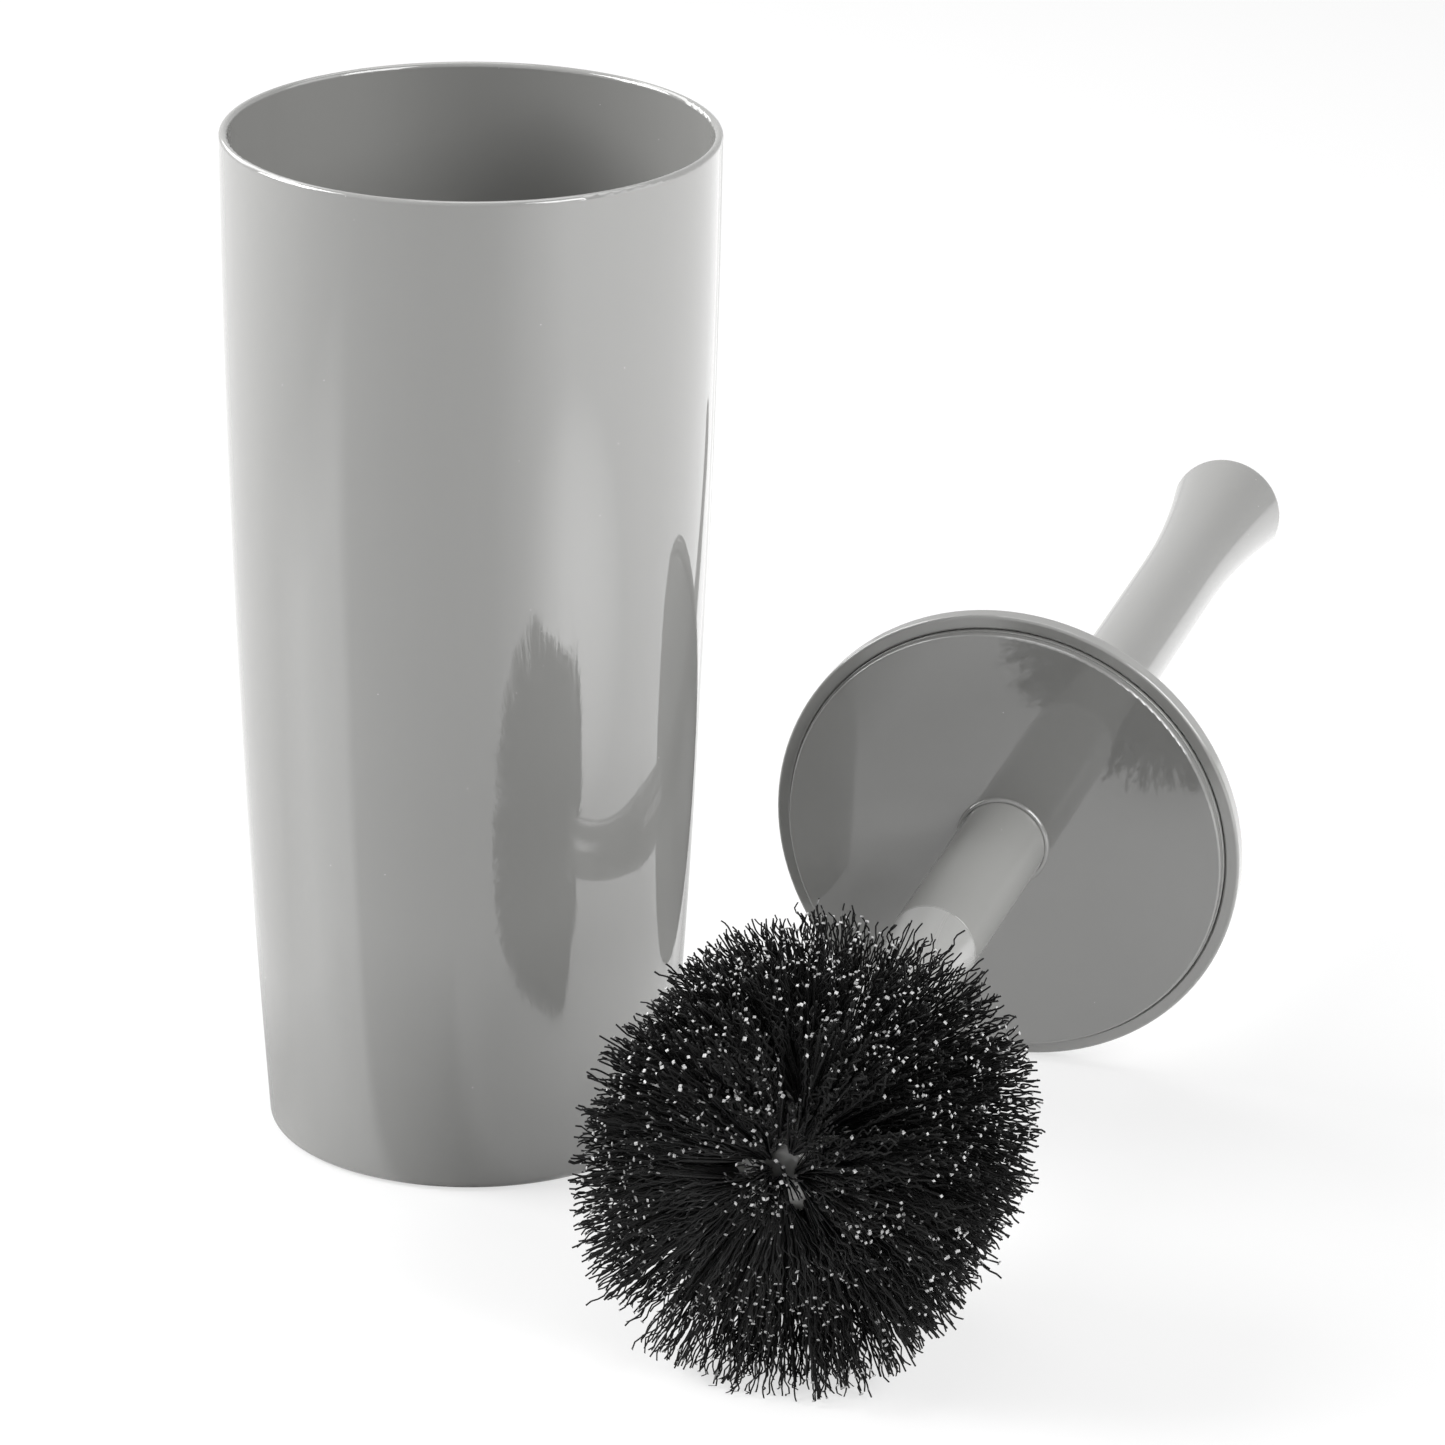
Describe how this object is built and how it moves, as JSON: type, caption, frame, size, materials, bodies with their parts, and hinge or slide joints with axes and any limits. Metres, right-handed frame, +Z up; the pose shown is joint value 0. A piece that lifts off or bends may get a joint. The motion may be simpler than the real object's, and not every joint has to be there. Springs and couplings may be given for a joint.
{
  "type": "toilet brush holder",
  "caption": "Slim tapered canister that holds a toilet brush, with the brush and its lid lying beside it; the lid on the brush closes the canister when it is put away.",
  "frame": {"origin": "centre of the canister's foot ring, on the plane it stands on", "axes": "+Z up along the canister; the brush lies beside it on the +X side, along +Y, with its bristles towards -Y and its handle towards +Y"},
  "size_m": [0.2121, 0.39, 0.228],
  "materials": {
    "grey_plastic": "glossy moulded grey plastic",
    "stem_plastic": "glossy moulded light grey plastic",
    "bristle": "black crimped filament"
  },
  "bodies": {
    "holder": {"canister": "grey_plastic"},
    "brush": {"lid_cover": "grey_plastic", "lid_plate": "grey_plastic", "handle": "grey_plastic", "rod": "grey_plastic", "brush_stem": "stem_plastic", "bristle_row_1": "bristle", "bristle_row_2": "bristle", "bristle_row_3": "bristle", "bristle_row_4": "bristle", "bristle_row_5": "bristle", "bristle_row_6": "bristle", "bristle_row_7": "bristle", "bristle_nose": "bristle"}
  },
  "joints": [
    {"name": "brush_lift", "type": "slide", "parent": "holder", "child": "brush", "axis": [0, 0, 1], "range_m": [0, 0.3]}
  ]
}
